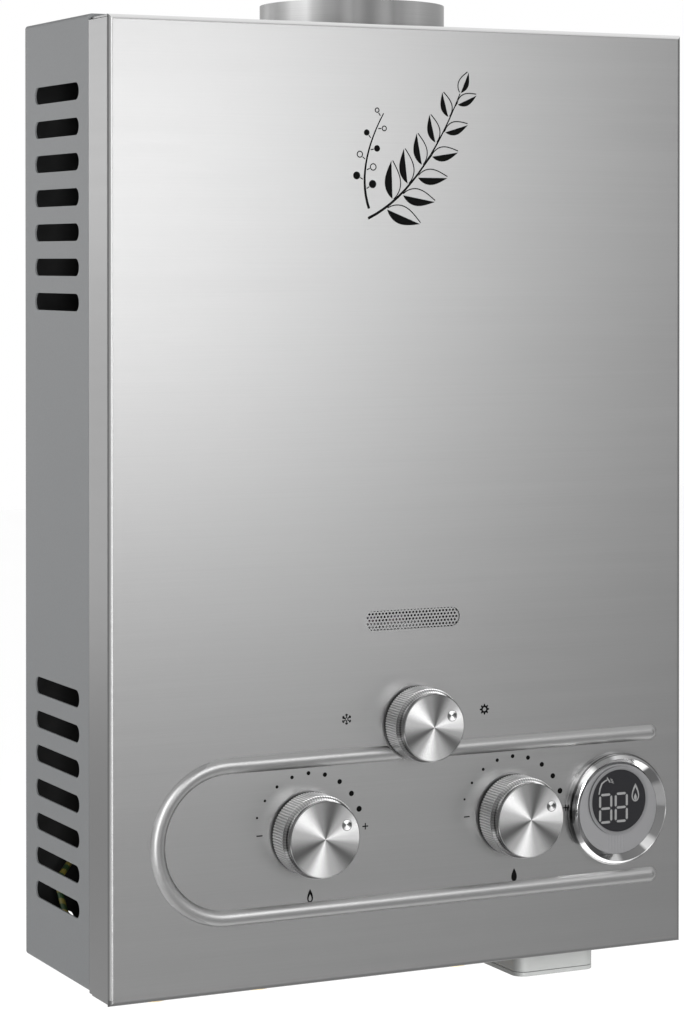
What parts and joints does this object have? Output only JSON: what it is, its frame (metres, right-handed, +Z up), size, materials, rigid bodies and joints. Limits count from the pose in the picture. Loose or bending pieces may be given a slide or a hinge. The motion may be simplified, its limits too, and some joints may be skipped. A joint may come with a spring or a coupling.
{
  "type": "tankless water heater",
  "caption": "Wall-hung tankless gas water heater: brushed steel cover with dial knobs, round display, side vents, flue collar and battery box.",
  "frame": {"origin": "centre of the rear face that lies on the wall, at the middle of the housing height", "axes": "+X right as seen from the front, +Y back into the wall, +Z up; the front faces -Y"},
  "size_m": [0.298, 0.126, 0.469],
  "materials": {
    "housing_paint": "grey satin powder coat",
    "cover_steel": "fine brushed stainless sheet",
    "plated_steel": "zinc plated",
    "screen_steel": "perforated plate",
    "flue_steel": "bare sheet",
    "galvanised_steel": "galvanised sheet",
    "copper": "copper sheet",
    "copper_tube": "drawn copper tube",
    "brass": "turned brass",
    "burner_steel": "heat-stained stainless",
    "valve_alloy": "die-cast alloy",
    "black_rubber": "moulded rubber",
    "drain_plastic": "moulded",
    "spring_steel": "bright spring wire",
    "black_plastic": "moulded",
    "knob_metal": "ridged satin metal",
    "knob_face": "turned face",
    "bezel_chrome": "bright",
    "display_silver": "satin silver",
    "display_black": "dark window",
    "board_green": "circuit board",
    "battery_plastic": "moulded light grey",
    "cell_wrap": "plain printed sleeve",
    "ceramic_white": "glazed ceramic",
    "lead_red": "silicone lead",
    "lead_white": "silicone lead",
    "lead_green_yellow": "striped sleeve"
  },
  "bodies": {
    "casing": {"battery_case": "battery_plastic", "battery_cells": "cell_wrap", "battery_contacts": "spring_steel", "burner_bars": "burner_steel", "burner_frame": "galvanised_steel", "chamber_brackets": "galvanised_steel", "cold_pipe": "copper_tube", "cover_screws": "plated_steel", "diaphragm_screws": "plated_steel", "display_bezel": "bezel_chrome", "display_board": "board_green", "display_lens": "display_black", "display_plate": "display_silver", "display_pod": "black_plastic", "drain_valve": "brass", "earth_wire": "lead_green_yellow", "exchanger_fins": "copper", "exchanger_shell": "copper", "exchanger_tubes": "copper_tube", "flame_sensor": "ceramic_white", "flue_collar": "flue_steel", "flue_hood": "galvanised_steel", "front_cover": "cover_steel", "gas_manifold": "valve_alloy", "gas_nozzles": "brass", "gas_riser": "valve_alloy", "gas_valve_body": "valve_alloy", "hot_pipe": "copper_tube", "igniter_box": "black_plastic", "ignition_electrode": "ceramic_white", "ignition_lead": "lead_red", "microswitch": "black_plastic", "pipe_nipples": "brass", "pipe_nuts": "brass", "rear_housing": "housing_paint", "rod_spring": "spring_steel", "season_valve_body": "valve_alloy", "sensor_lead": "lead_white", "sight_screen": "screen_steel", "solenoid_valve": "plated_steel", "switch_bracket": "plated_steel", "temperature_probe": "brass", "thermostat": "black_plastic", "water_diaphragm": "black_rubber", "water_valve_body": "brass", "water_valve_cap": "brass"},
    "gas_knob": {"gas_knob": "knob_metal", "gas_knob_face": "knob_face", "gas_valve_stem": "brass"},
    "water_knob": {"water_knob": "knob_metal", "water_knob_face": "knob_face", "water_valve_stem": "brass"},
    "season_knob": {"season_knob": "knob_metal", "season_knob_face": "knob_face", "season_valve_stem": "brass"},
    "battery_lid": {"battery_lid": "battery_plastic", "lid_contact": "spring_steel"},
    "drain_plug": {"drain_plug": "drain_plastic"},
    "push_rod": {"push_rod": "plated_steel"},
    "switch_lever": {"switch_lever": "plated_steel"}
  },
  "joints": [
    {"name": "gas_knob_turn", "type": "hinge", "parent": "casing", "child": "gas_knob", "pos_m": [-0.0514, -0.108, -0.1523], "axis": [0, -1, 0], "range_deg": [-28, 152]},
    {"name": "water_knob_turn", "type": "hinge", "parent": "casing", "child": "water_knob", "pos_m": [0.0554, -0.108, -0.1523], "axis": [0, -1, 0], "range_deg": [-28, 152]},
    {"name": "season_knob_turn", "type": "hinge", "parent": "casing", "child": "season_knob", "pos_m": [0.0042, -0.108, -0.1055], "axis": [0, -1, 0], "range_deg": [-18, 142]},
    {"name": "battery_lid_hinge", "type": "hinge", "parent": "casing", "child": "battery_lid", "pos_m": [0.096, -0.0084, -0.2356], "axis": [1, 0, 0], "range_deg": [0, 95]},
    {"name": "drain_plug_turn", "type": "hinge", "parent": "casing", "child": "drain_plug", "pos_m": [0.064, -0.075, -0.2218], "axis": [0, 0, -1], "range_deg": [0, 90]},
    {"name": "rod_slide", "type": "slide", "parent": "casing", "child": "push_rod", "axis": [-1, 0, 0], "range_m": [0, 0.004], "stiffness_N_per_m": 400, "springref_m": -0.002, "deforming": ["rod_spring"]},
    {"name": "switch_lever_turn", "type": "hinge", "parent": "casing", "child": "switch_lever", "pos_m": [-0.002, -0.053, -0.1309], "axis": [0, 1, 0], "range_deg": [0, 14]}
  ],
  "couplings": [
    {"joint": "switch_lever_turn", "follows": "rod_slide", "rad_per_m": 59.341}
  ]
}
